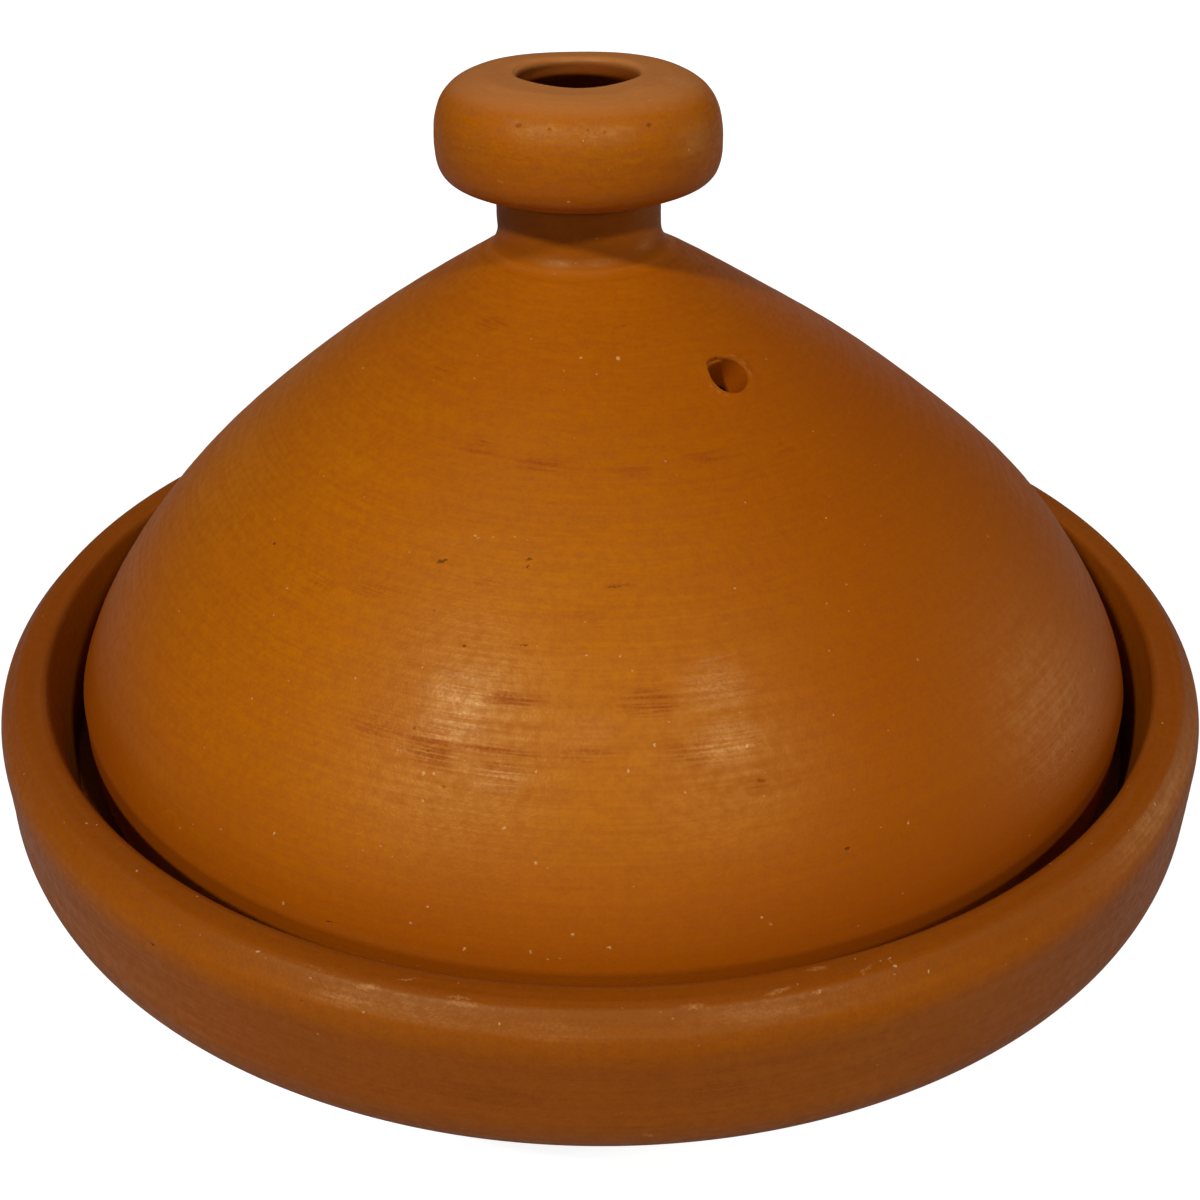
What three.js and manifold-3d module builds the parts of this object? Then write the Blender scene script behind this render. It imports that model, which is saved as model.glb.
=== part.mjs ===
// Terracotta tagine: a shallow dish, a conical lid that sits inside its rim, and a hollow knob on the lid.
// Millimetres, Z up, foot of the dish on the plane Z = 0, front towards -Y.
import * as THREE from "three";
import { mergeVertices } from "three/addons/utils/BufferGeometryUtils.js";
import Module from "manifold-3d";

// dish
const dishRadius = 150; // widest radius of the outer wall
const dishHeight = 73.5; // table to the flat top of the rim
const footRadius = 109; // flat face that stands on the table
const footRound = 3; // softened edge round the foot
const flareDrop = 34; // rim's top down to where the straight flare starts to turn upright
const bellyTurn = 2.7; // how much wider the wall gets in that turn
const bellyDrop = 24.5; // rim's top down to where the wall is upright
const shoulderWidth = 5.2; // rounded outer shoulder of the rim, inwards
const shoulderDrop = 13.3; // rounded outer shoulder of the rim, downwards
const rimWidth = 12.2; // from the widest radius to the inner edge of the rim
const rimEdgeWidth = 3.2; // rounding of the rim's inner edge, across the rim
const rimEdgeDrop = 2.8; // the same rounding, downwards
const rimDraft = 3.3; // how far the rim's inner wall slopes in on its way down to the ledge
const floorThickness = 11; // clay under the bowl
const floorRadius = 80; // flat middle of the bowl's floor
const bowlWallPull = 0.68; // how long the bowl's curve follows its wall, as a share of its depth
const bowlFloorPull = 0.58; // how long it follows the floor, as a share of the curve's width

// seat for the lid, a ledge inside the rim
const ledgeDrop = 24.5; // rim's top down to the ledge
const ledgeWidth = 11; // flat ring that carries the lid
const ledgeEdgeRound = 3; // rounding of the ledge's inner edge
const seatGap = 3.4; // least side clearance between the lid and the foot of the rim's inner wall

// lid
const lidHeight = 118.5; // lid's edge to the flat crown under the neck
const lidWaist = 10.7; // height of the lid's widest ring above its edge
const lidTuck = 4.4; // how far the outer edge rounds in below the widest ring
const lidBand = 8.9; // upright trimmed band from the widest ring up to a ridge
const edgeWall = 10; // wall of the lid near its edge
const coneWall = 7.5; // wall of the lid near the crown
const crownThickness = 9; // clay between the well of the knob and the inside of the lid
const roofShare = 0.846; // place along the flank where the inside turns into the domed roof
const flankLean = 15.6; // degrees by which the flank leans in above the ridge
const flankRise = 31.9; // pull of the flank's curve along that lean
const flankReach = 59.4; // outward pull of the flank's curve at the crown
const flankSlope = 30.1; // degrees from level at which the flank meets the crown
const lidShift = 0.7; // the seated lid stands this far right of the dish's axis
const neckLean = 5.5; // the neck stands this far left of the lid's edge, as thrown by hand
const leanFrom = 46; // height above the lid's edge where the lean starts

// steam hole
const steamHole = 10.5; // diameter
const steamShare = 0.83; // place along the flank, 0 at the ridge and 1 at the crown
const steamTurn = 40; // degrees from the front towards the right

// neck and knob
const crownRadius = 22.5; // foot of the neck, equal to the flat crown of the cone
const neckRadius = 18.5; // slimmest part of the neck
const neckHeight = 15.7; // crown to the crease under the knob
const neckFoot = 6; // height of the hollow flare at the foot of the neck
const neckHollow = 2.3; // height of that flare's corner point, lower for a sharper hollow
const knobRadius = 32; // widest part of the knob
const knobHeight = 23.9; // crease to the top of the lip
const knobBelly = 9.9; // height of the widest part above the crease
const knobUnder = 0.84; // fullness of the knob's underside, 1 for a square corner
const knobDome = 0.74; // fullness of the knob's dome, 1 for a square corner
const lipRadius = 15; // top ring of the lip
const lipRound = 0.5; // rounding of the lip into the well
const lipDepth = 4.2; // top of the lip down to where the well widens under it
const hollowRadius = 20; // widest part of the well, inside the knob's belly
const hollowRoof = 0.6; // fullness of the well under the lip, 1 for a square corner
const throatRadius = 12.7; // well at the top of the neck
const wellRadius = 11.6; // well at its floor

const wideSteps = 60; // facets round the dish and the cone
const knobSteps = 44; // facets round the knob

// where the wall, the seat and the lid take their sizes from each other
const flareHeight = dishHeight - flareDrop;
const flareRadius = dishRadius - bellyTurn;
const bellyHeight = dishHeight - bellyDrop;
const ledgeHeight = dishHeight - ledgeDrop;
const rimInner = dishRadius - rimWidth;
const ledgeOuter = rimInner - rimDraft;
const ledgeInner = ledgeOuter - ledgeWidth;
const lidRadius = ledgeOuter - seatGap;
const waistHeight = ledgeHeight + lidWaist;
const ridgeHeight = waistHeight + lidBand;
const crownHeight = ledgeHeight + lidHeight;
const creaseHeight = crownHeight + neckHeight;
const knobTop = creaseHeight + knobHeight;

const wasm = await Module();
wasm.setup();

function turned(points, steps) {
  const geometry = new THREE.LatheGeometry(points, steps);
  geometry.rotateX(Math.PI / 2);
  return geometry;
}

function solidOf(geometry) {
  const bare = geometry.clone();
  bare.deleteAttribute("normal");
  bare.deleteAttribute("uv");
  const merged = mergeVertices(bare, 1e-3);
  const mesh = new wasm.Mesh({
    numProp: 3,
    vertProperties: new Float32Array(merged.attributes.position.array),
    triVerts: new Uint32Array(merged.index.array),
  });
  return new wasm.Manifold(mesh);
}

function geometryOf(solid) {
  const mesh = solid.getMesh();
  const geometry = new THREE.BufferGeometry();
  geometry.setAttribute("position", new THREE.BufferAttribute(mesh.vertProperties, 3));
  geometry.setIndex(new THREE.BufferAttribute(mesh.triVerts, 1));
  geometry.computeVertexNormals();
  return geometry;
}

// sideways place of the lid's own axis at a height, so that cone and knob lean together
function axisAt(z) {
  return lidShift - neckLean * THREE.MathUtils.smoothstep(z, ledgeHeight + leanFrom, creaseHeight);
}

function leaned(geometry) {
  const place = geometry.attributes.position;
  for (let i = 0; i < place.count; i++) {
    place.setX(i, place.getX(i) + axisAt(place.getZ(i)));
  }
  return geometry;
}

// dish: foot, flare, belly, shoulder, rim, inner wall, ledge, bowl
function dishOutline() {
  const slope = flareHeight / (flareRadius - footRadius);
  const line = new THREE.Path();
  line.moveTo(0, 0);
  line.lineTo(footRadius - footRound, 0);
  line.quadraticCurveTo(footRadius, 0, footRadius + footRound / 2, (slope * footRound) / 2);
  line.lineTo(flareRadius, flareHeight);
  line.quadraticCurveTo(dishRadius, slope * (dishRadius - footRadius), dishRadius, bellyHeight);
  const shoulder = new THREE.Vector2(dishRadius - shoulderWidth, dishHeight - shoulderDrop);
  line.lineTo(dishRadius, shoulder.y);
  line.absellipse(shoulder.x, shoulder.y, shoulderWidth, shoulderDrop, 0, Math.PI / 2);
  line.lineTo(rimInner + rimEdgeWidth, dishHeight);
  line.quadraticCurveTo(rimInner, dishHeight, rimInner, dishHeight - rimEdgeDrop);
  line.lineTo(ledgeOuter, ledgeHeight);
  line.lineTo(ledgeInner + ledgeEdgeRound, ledgeHeight);
  line.quadraticCurveTo(ledgeInner, ledgeHeight, ledgeInner, ledgeHeight - ledgeEdgeRound);
  const wallPull = (ledgeHeight - floorThickness) * bowlWallPull;
  const floorPull = (ledgeInner - floorRadius) * bowlFloorPull;
  line.bezierCurveTo(
    ledgeInner,
    ledgeHeight - wallPull,
    floorRadius + floorPull,
    floorThickness,
    floorRadius,
    floorThickness,
  );
  line.lineTo(0, floorThickness);
  return line.getPoints(6);
}

// outer flank of the lid, from the ridge up to the crown
function flankCurve() {
  const ridge = new THREE.Vector2(lidRadius, ridgeHeight);
  const crown = new THREE.Vector2(crownRadius, crownHeight);
  const lean = THREE.MathUtils.degToRad(flankLean);
  const slope = THREE.MathUtils.degToRad(flankSlope);
  const rise = new THREE.Vector2(-Math.sin(lean), Math.cos(lean)).multiplyScalar(flankRise);
  const reach = new THREE.Vector2(Math.cos(slope), -Math.sin(slope)).multiplyScalar(flankReach);
  return new THREE.CubicBezierCurve(ridge, ridge.clone().add(rise), crown.clone().add(reach), crown);
}

function outwardAt(flank, share) {
  const along = flank.getTangent(share);
  return new THREE.Vector2(along.y, -along.x);
}

// lid: inside of the crown, inner flank, flat edge, trimmed band, outer flank, flat crown
function lidOutline(flank) {
  const steps = 13;
  const inner = [];
  for (let i = steps; i >= 0; i--) {
    const share = (roofShare * i) / steps;
    const wall = THREE.MathUtils.lerp(edgeWall, coneWall, share);
    inner.push(flank.getPoint(share).addScaledVector(outwardAt(flank, share), -wall));
  }
  const roof = new THREE.Path();
  roof.moveTo(0, crownHeight - crownThickness);
  roof.quadraticCurveTo(inner[0].x / 2, crownHeight - crownThickness, inner[0].x, inner[0].y);
  const edge = new THREE.Path();
  edge.moveTo(lidRadius - edgeWall, ledgeHeight);
  edge.lineTo(lidRadius - lidTuck, ledgeHeight);
  edge.quadraticCurveTo(lidRadius, ledgeHeight, lidRadius, waistHeight);
  edge.lineTo(lidRadius, ridgeHeight);
  const crown = new THREE.Vector2(0, crownHeight);
  return [
    ...roof.getPoints(3),
    ...inner.slice(1),
    ...edge.getPoints(5),
    ...flank.getPoints(16).slice(1),
    crown,
  ];
}

function steamDrill(flank) {
  const turn = THREE.MathUtils.degToRad(steamTurn);
  const place = flank.getPoint(steamShare);
  const out = outwardAt(flank, steamShare);
  const axis = new THREE.Vector3(out.x * Math.sin(turn), -out.x * Math.cos(turn), out.y);
  const drill = new THREE.CylinderGeometry(steamHole / 2, steamHole / 2, 6 * coneWall, 24);
  drill.applyQuaternion(new THREE.Quaternion().setFromUnitVectors(new THREE.Vector3(0, 1, 0), axis));
  drill.translate(place.x * Math.sin(turn) + axisAt(place.y), -place.x * Math.cos(turn), place.y);
  return drill;
}

// knob: flat foot, hollow flare, neck, underside, dome, lip, well that widens under the lip
function knobOutline() {
  const belly = creaseHeight + knobBelly;
  const line = new THREE.Path();
  line.moveTo(wellRadius, crownHeight);
  line.lineTo(crownRadius, crownHeight);
  line.quadraticCurveTo(neckRadius, crownHeight + neckHollow, neckRadius, crownHeight + neckFoot);
  line.lineTo(neckRadius, creaseHeight);
  line.bezierCurveTo(
    THREE.MathUtils.lerp(neckRadius, knobRadius, knobUnder),
    creaseHeight,
    knobRadius,
    belly - knobUnder * knobBelly,
    knobRadius,
    belly,
  );
  line.bezierCurveTo(
    knobRadius,
    THREE.MathUtils.lerp(belly, knobTop, knobDome),
    THREE.MathUtils.lerp(knobRadius, lipRadius, 1 - knobDome),
    knobTop,
    lipRadius,
    knobTop,
  );
  line.quadraticCurveTo(lipRadius - lipRound, knobTop, lipRadius - lipRound, knobTop - lipRound);
  const mouth = new THREE.Vector2(lipRadius - lipRound, knobTop - lipDepth);
  line.lineTo(mouth.x, mouth.y);
  line.bezierCurveTo(
    THREE.MathUtils.lerp(mouth.x, hollowRadius, hollowRoof),
    mouth.y,
    hollowRadius,
    THREE.MathUtils.lerp(belly, mouth.y, hollowRoof),
    hollowRadius,
    belly,
  );
  line.quadraticCurveTo(hollowRadius, creaseHeight, throatRadius, creaseHeight);
  line.lineTo(wellRadius, crownHeight);
  return line.getPoints(6);
}

function clay(colour, roughness) {
  return new THREE.MeshStandardMaterial({ color: colour, roughness: roughness, metalness: 0 });
}

const flank = flankCurve();
const coneShell = solidOf(leaned(turned(lidOutline(flank), wideSteps)));
const coneSolid = coneShell.subtract(solidOf(steamDrill(flank)));

const dish = new THREE.Mesh(turned(dishOutline(), wideSteps), clay(0x8a4c12, 0.55));
dish.name = "dish";
const lidCone = new THREE.Mesh(geometryOf(coneSolid), clay(0xa86018, 0.5));
lidCone.name = "lid_cone";
const lidKnob = new THREE.Mesh(leaned(turned(knobOutline(), knobSteps)), clay(0xa05c1a, 0.5));
lidKnob.name = "lid_knob";

const tagine = new THREE.Group();
tagine.name = "tagine";
tagine.add(dish, lidCone, lidKnob);

export default tagine;
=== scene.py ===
import math

import bpy
import numpy as np
from mathutils import Matrix, Vector


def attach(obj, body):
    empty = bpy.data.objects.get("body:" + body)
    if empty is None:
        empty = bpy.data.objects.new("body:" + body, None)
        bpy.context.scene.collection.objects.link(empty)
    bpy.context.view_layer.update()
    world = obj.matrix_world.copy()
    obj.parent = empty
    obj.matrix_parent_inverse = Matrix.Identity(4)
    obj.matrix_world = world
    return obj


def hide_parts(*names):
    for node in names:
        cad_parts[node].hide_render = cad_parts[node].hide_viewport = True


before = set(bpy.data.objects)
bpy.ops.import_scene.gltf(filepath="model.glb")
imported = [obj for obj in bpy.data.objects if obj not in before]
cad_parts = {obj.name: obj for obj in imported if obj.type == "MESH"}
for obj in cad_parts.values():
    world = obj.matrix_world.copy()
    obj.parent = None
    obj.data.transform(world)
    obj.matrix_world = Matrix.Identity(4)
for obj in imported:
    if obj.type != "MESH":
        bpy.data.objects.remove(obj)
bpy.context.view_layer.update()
scene = bpy.context.scene
mm = 0.001
nearby = 0.05  # millimetres within which points count as level
fullTurn = 2 * math.pi
print("frame loaded:", ", ".join(sorted(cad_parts)))


def addObject(name, data):
    made = bpy.data.objects.new(name, data)
    scene.collection.objects.link(made)
    return made


# camera, set where the photograph was taken from
cameraLook = {
    "place": (0.0, -0.3515, 0.2842),
    "aim": (0.0, 0.0, 0.0731),
    "lens": 47.19,
    "sensor": 36.0,
    "frame": 1200,  # pixels along each side
}


def setCamera(look):
    data = bpy.data.cameras.new("camera")
    data.lens = look["lens"]
    data.sensor_width = look["sensor"]
    data.clip_start = 0.01
    made = addObject("camera", data)
    made.location = look["place"]
    away = Vector(look["aim"]) - Vector(look["place"])
    made.rotation_euler = away.to_track_quat("-Z", "Y").to_euler()
    scene.camera = made
    bpy.context.view_layer.update()
    return made


camera = setCamera(cameraLook)


def seenAt(thing, x, y):  # where a pixel of the frame lies on a piece
    half = cameraLook["frame"] / 2
    reach = cameraLook["frame"] * cameraLook["lens"] / cameraLook["sensor"]
    ray = camera.matrix_world.to_3x3() @ Vector(((x - half) / reach, (half - y) / reach, -1.0))
    found, place, _, _ = thing.ray_cast(camera.location, ray.normalized())
    if not found:
        raise ValueError("no clay at pixel %g, %g" % (x, y))
    return place


print("camera set")


# turning on the wheel: an outline of radius and height in millimetres, run round the axis
wheelLook = {
    "waves": 7,  # slow waves that make up the unevenness
    "waveSpread": (0.6, 1.7),  # their lengths, as shares of the length asked for
    "waveTurns": 4,  # the most of them round a piece
    "ringSteady": 0.62,  # share of a finger ring that is the same all along
    "ringRun": 5,  # pitches over which the rest of it changes
    "turnReach": 2.2,  # length of outline to each side over which a turn is measured
    "turnGain": 3.2,  # how soon a turn counts as an edge or a hollow
    "contactFade": 5.0,  # from a touching face out to full unevenness
    "crease": 38,  # degrees from which an edge is shaded sharp
    "mapStart": 0.005,  # texture map: the turned faces first, then a strip for drilled ones
    "mapShare": 0.96,
    "drillStart": 0.97,
    "drillShare": 0.03,
}


def bend(controls, step):  # a smooth curve led by its control points, with points about a step apart
    controls = np.array(controls, float)
    reach = np.linalg.norm(np.diff(controls, axis=0), axis=1).sum()
    share = np.linspace(0, 1, max(2, math.ceil(reach / step)) + 1)[:, None]
    order = len(controls) - 1
    total = 0
    for i, control in enumerate(controls):
        total = total + math.comb(order, i) * (1 - share) ** (order - i) * share**i * control
    return total


def outline(start, *legs):  # each leg: the step between its points, then its control points
    points = [np.array([start], float)]
    for step, *guides in legs:
        points.append(bend([points[-1][-1], *guides], step)[1:])
    return np.concatenate(points)


def smoothStep(value, low, high):
    share = np.clip((value - low) / (high - low), 0, 1)
    return share * share * (3 - 2 * share)


def headings(points, closed):  # the way the outline runs at each point
    ahead = np.roll(points, -1, 0) - np.roll(points, 1, 0)
    if not closed:
        ahead[0] = points[1] - points[0]
        ahead[-1] = points[-1] - points[-2]
    return ahead / np.linalg.norm(ahead, axis=1)[:, None]


def lengthAlong(points):
    return np.concatenate([[0], np.cumsum(np.linalg.norm(np.diff(points, axis=0), axis=1))])


def turnsOfOutline(points, closed):  # how sharply it turns, above 0 on edges and below 0 in hollows
    reach = wheelLook["turnReach"]
    ahead = headings(points, closed)
    along = lengthAlong(points)
    bearing = np.unwrap(np.arctan2(ahead[:, 1], ahead[:, 0]))
    low = np.interp(along - reach, along, bearing)
    high = np.interp(along + reach, along, bearing)
    return (high - low) / (2 * reach)


# slow unevenness of a hand at the wheel, the same on each run
def unevenness(along, angle, reach, seed):
    draw = np.random.RandomState(seed)
    most = wheelLook["waveTurns"]
    total = 0
    for _ in range(wheelLook["waves"]):
        wave = fullTurn * along / (reach * draw.uniform(*wheelLook["waveSpread"]))
        total = total + np.cos(wave + draw.randint(-most, most + 1) * angle + draw.uniform(0, fullTurn))
    return total / math.sqrt(wheelLook["waves"])


def fingerRings(along, angle, pitch, seed):  # a spiral ridge, stronger in some places
    phase = np.random.RandomState(seed).uniform(0, fullTurn)
    wave = np.cos(fullTurn * along / pitch - angle + phase)
    steady = wheelLook["ringSteady"]
    reach = pitch * wheelLook["ringRun"]
    return wave * (steady + (1 - steady) * unevenness(along, angle, reach, seed + 1))


def ringSet(along, angle, look):  # ridges of more than one pitch, each with its seed and its share
    total = 0
    for pitch, seed, share in look["rings"]:
        total = total + share * fingerRings(along, angle, pitch, seed)
    return look["depth"] * total


def dentAt(place, spots):  # hollows pressed in at given points, longer around the piece than across
    total = np.zeros(place.shape[:2])
    for spot, wide, high, deep in spots:
        spot = np.array(spot) / mm
        away = place - spot
        side = np.array([-spot[1], spot[0], 0.0])
        side /= np.linalg.norm(side)
        around = away @ side
        across = (away**2).sum(-1) - around**2
        total += deep * np.exp(-((around / wide) ** 2) - across / high**2)
    return total


def stacked(*parts):  # arrays side by side along a new last axis
    return np.stack(np.broadcast_arrays(*parts), axis=-1)


# push says how far the clay stands out, sideways how the axis leans, touching which points meet
# another piece, and shade how much painted shade darkens the clay
def turnPiece(name, points, turns, push, sideways=None, closed=False, touching=None, shade=None):
    out = headings(points, closed)[:, ::-1] * (1, -1)
    along = lengthAlong(points)
    angle = math.pi / 2 + np.arange(turns) * fullTurn / turns  # the seam is at the back
    radius, height = points[:, :1], points[:, 1:]
    shift = sideways(height) if sideways else 0 * height
    place = stacked(radius * np.cos(angle) + shift, radius * np.sin(angle), height)
    given = push(along[:, None], angle[None, :], points, place)
    loose = np.ones(len(points))
    if touching is not None:  # faces that meet another piece stay true
        marks = along[touching(points)]
        loose = smoothStep(np.abs(along[:, None] - marks[None, :]).min(1), 0, wheelLook["contactFade"])
    given = given * loose[:, None]
    radius, height = radius + out[:, :1] * given, height + out[:, 1:] * given
    grid = stacked(radius * np.cos(angle) + shift, radius * np.sin(angle), height) * mm

    onAxis = points[:, 0] < 1e-6
    rows = np.flatnonzero(~onAxis)
    number = np.full((len(points), turns), -1)
    number[rows] = np.arange(len(rows) * turns).reshape(-1, turns)
    places = [grid[rows].reshape(-1, 3)]
    below = rows if closed else rows[:-1]
    above = np.roll(rows, -1) if closed else rows[1:]
    j = np.arange(turns)
    k = (j + 1) % turns
    lower, upper = number[below], number[above]
    faces = stacked(lower[:, j], lower[:, k], upper[:, k], upper[:, j]).reshape(-1, 4).tolist()

    total = along[-1] + (np.linalg.norm(points[0] - points[-1]) if closed else 0)
    tall = along / total * wheelLook["mapShare"] + wheelLook["mapStart"]
    tallAbove = np.where(above > below, tall[above], wheelLook["mapShare"] + wheelLook["mapStart"])
    u = stacked(j, j + 1, j + 1, j) / turns
    v = stacked(tall[below], tall[below], tallAbove, tallAbove)
    flat = stacked(u[None], v[:, None]).reshape(-1, 2)

    for end in np.flatnonzero(onAxis):
        ring = rows[0] if end < rows[0] else rows[-1]
        pole = sum(map(len, places))
        places.append(np.array([[shift[end, 0], 0.0, points[end, 1]]]) * mm)
        first, second = (k, j) if end < rows[0] else (j, k)
        faces += stacked(pole, number[ring][first], number[ring][second]).tolist()
        step = 1 if end < rows[0] else 0
        u = stacked(j + 0.5, j + step, j + 1 - step) / turns
        v = [tall[end], tall[ring], tall[ring]]
        flat = np.concatenate([flat, stacked(u, v).reshape(-1, 2)])

    mesh = bpy.data.meshes.new(name)
    mesh.from_pydata(np.concatenate(places).tolist(), [], faces)
    mesh.uv_layers.new(name="OFBake").uv.foreach_set("vector", flat.astype(np.float32).ravel())
    # hollows in the outline, and the points that shade marks, get painted shade through the hollow
    # attribute
    turning = turnsOfOutline(points, closed) * loose * wheelLook["turnGain"]
    paintedShade = shade(points) if shade else 0
    for label, values in (("edgeWear", turning), ("hollow", np.maximum(paintedShade, -turning))):
        spread = np.repeat(np.clip(values[rows], 0, 1), turns)
        spread = np.concatenate([spread, np.zeros(int(onAxis.sum()))])
        mesh.attributes.new(label, "FLOAT", "POINT").data.foreach_set("value", spread.astype(np.float32))
    return addObject(name, mesh)


def smoothFinish(piece):
    mesh = piece.data
    mesh.polygons.foreach_set("use_smooth", np.ones(len(mesh.polygons), bool))
    mesh.set_sharp_from_angle(angle=math.radians(wheelLook["crease"]))
    mesh.update()


def standFor(piece, node, body):
    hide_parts(node)
    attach(piece, body)


# dish: foot, flare, belly, shoulder, rim, seat for the lid, bowl
dishLook = {
    "turns": 400,
    "foot": 109.0,
    "footRound": (3.0, 1.5, 1.547),  # in from the foot's edge, out from it and up
    "flareTop": (2.7, 39.5),  # inset from the belly, height
    "belly": 150.0,
    "bellyTurn": (42.28, 49.0),  # heights between which the flare turns upright
    "height": 73.5,
    "wallTop": 63.5,  # where the upright wall ends
    "shoulder": [  # inset from the belly, height
        (0.0, 67.6),
        (1.9, 69.7),
        (4.6, 72.6),
        (5.5, 73.5),
        (7.4, 73.5),
    ],
    "rimInner": 137.8,
    "rimEdge": (3.2, 2.8),  # rounding of the rim's inner edge, across and down
    "seat": 49.0,
    "seatOuter": 134.5,
    "seatInner": 123.5,
    "seatRound": 3.0,
    "bowlPull": (23.16, 25.23),  # how the bowl curves: height of its wall's end, width of its floor's
    "floor": 11.0,
    "floorRadius": 80.0,
    "swell": 0.16,  # slow unevenness of the wall
    "swellRun": (120, 3),  # its length and seed
    "bowlSwell": 0.4,  # share of it inside the bowl
    "bowlWithin": (124.5, 5.0),  # radius inside which and height above which rings are the bowl's
    "wallRings": {"depth": 0.022, "rings": [(7.4, 5, 1.0), (3.1, 7, 0.5)]},
    "bowlRings": {"depth": 0.30, "rings": [(10.5, 11, 1.0), (5.7, 13, 0.35)]},
}


def dishOutline(look):
    seat, inner, rounding = look["seat"], look["seatInner"], look["seatRound"]
    floor, flat = look["floor"], look["floorRadius"]
    belly, top, rim, foot = look["belly"], look["height"], look["rimInner"], look["foot"]
    edgeWide, edgeDrop = look["rimEdge"]
    footIn, footOut, footUp = look["footRound"]
    flareIn, flareTop = look["flareTop"]
    turnFrom, turnTo = look["bellyTurn"]
    shoulder = [(belly - inset, height) for inset, height in look["shoulder"]]
    turn, lowEdge, highEdge, corner, flatEdge = shoulder
    wallEnd, floorEnd = look["bowlPull"]
    return outline(
        (0, 0),
        (5.5, (foot - footIn, 0)),
        (0.7, (foot, 0), (foot + footOut, footUp)),
        (1.3, (belly - flareIn, flareTop)),
        (1.0, (belly, turnFrom), (belly, turnTo)),
        (1.2, (belly, look["wallTop"])),
        (0.6, turn, lowEdge),
        (0.8, highEdge),
        (0.6, corner, flatEdge),
        (0.8, (rim + edgeWide, top)),
        (0.6, (rim, top), (rim, top - edgeDrop)),
        (1.2, (look["seatOuter"], seat)),
        (1.6, (inner + rounding, seat)),
        (0.8, (inner, seat), (inner, seat - rounding)),
        (1.8, (inner, wallEnd), (flat + floorEnd, floor), (flat, floor)),
        (2.4, (0, floor)),
    )


def dishPush(along, angle, points, place):
    radius, height = points[:, :1], points[:, 1:]
    wide, low = dishLook["bowlWithin"]
    inside = (radius < wide) & (height > low)
    outside = 1 - inside
    slow = dishLook["swell"] * unevenness(along, angle, *dishLook["swellRun"])
    slow = slow * (dishLook["bowlSwell"] + (1 - dishLook["bowlSwell"]) * outside)
    wall = ringSet(along, angle, dishLook["wallRings"])
    bowl = ringSet(along, angle, dishLook["bowlRings"])
    return slow + wall * outside + bowl * inside


def dishContact(points):
    onFoot = points[:, 1] < nearby
    onSeat = np.abs(points[:, 1] - dishLook["seat"]) < nearby
    return onFoot | (onSeat & (points[:, 0] > dishLook["seatInner"]))


dish = turnPiece("thrownDish", dishOutline(dishLook), dishLook["turns"], dishPush, touching=dishContact)
smoothFinish(dish)
standFor(dish, "dish", "dish")
print("dish turned:", len(dish.data.polygons), "faces")


# lid: the seated edge, the trimmed band, the flank with its steam hole, and the crown that carries the neck
lidLook = {
    "turns": 360,
    "edge": 49.0,
    "radius": 131.1,
    "tuck": 4.4,
    "waist": 59.7,
    "ridge": 68.6,
    "crown": 167.5,
    "crownRadius": 22.5,
    "lean": (15.6, 31.9),  # how the flank leaves the ridge, degrees and pull
    "slope": (30.1, 59.4),  # how it meets the crown, degrees and pull
    "edgeWall": 10.0,
    "coneWall": 7.5,
    "roof": 158.5,
    "roofShare": 0.846,
    "swell": 0.20,
    "swellRun": (90, 21),
    "flankRings": {"depth": 0.024, "rings": [(8.2, 23, 1.0), (3.3, 25, 0.45)]},
    "insideRings": {"depth": 0.32, "rings": [(11.5, 27, 1.0), (6.1, 29, 0.4)]},
    "ringsMeet": (8, 2),  # how far before the waist the inside rings give way
}
leanLook = {"shift": 0.7, "lean": 5.5, "from": 95.0, "to": 183.2}  # the thrown neck stands a little left
steamLook = {
    "share": 0.832,  # how far up the flank
    "turn": 40.0,  # degrees round from the front
    "width": 9.9,
    "oval": 0.55,  # how much narrower it is along the chip
    "taper": 1.2,  # how much narrower it is inside
    "flare": 0.7,
    "depths": (-26.0, -9.0, -1.2, -0.6),  # the drill's end, where it widens, is full, and turns
    "edgeTurn": (-0.2, 0.25, 0.1),  # how the hole's edge turns outward: start, width, end
    "flareTop": 0.9,
    "top": 4.0,
    "turns": 72,
    "uneven": (0.12, 3, 5),  # depth, waves round the hole, and how slowly they twist down it
    "lip": 0.30,  # raised ring round the hole: its height, distance and width
    "lipOut": 0.6,
    "lipWidth": 0.9,
    "chipAt": 112.0,  # degrees round the hole
    "chip": 0.70,
    "chipReach": (0.85, 0.25),  # radians to each side where it ends and is full
    "chipRise": (-1.3, -0.8),
    "chipWaves": [(9, 0.5), (17, 0.3)],
    "chipRagged": 0.25,
    "wornFrom": (-0.9, -0.2),  # heights of no wear and full wear
    # painted shade inside the hole: heights of none and of full
    "shadeFrom": (-0.6, -2.0),
}


def flankGuides(look):
    lean, rise = math.radians(look["lean"][0]), look["lean"][1]
    slope, reach = math.radians(look["slope"][0]), look["slope"][1]
    ridge = np.array((look["radius"], look["ridge"]))
    crown = np.array((look["crownRadius"], look["crown"]))
    leaving = ridge + rise * np.array((-math.sin(lean), math.cos(lean)))
    meeting = crown + reach * np.array((math.cos(slope), -math.sin(slope)))
    return [ridge, leaving, meeting, crown]


def axisAt(height):
    return leanLook["shift"] - leanLook["lean"] * smoothStep(height, leanLook["from"], leanLook["to"])


def steamAxis():
    flank = bend(flankGuides(lidLook), 0.4)
    at = int(steamLook["share"] * (len(flank) - 1))
    ahead = headings(flank, False)[at]
    turn = math.radians(steamLook["turn"])
    out = Vector((ahead[1] * math.sin(turn), -ahead[1] * math.cos(turn), -ahead[0]))
    radius, height = flank[at]
    return Vector((radius * math.sin(turn) + axisAt(height), -radius * math.cos(turn), height)), out


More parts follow.
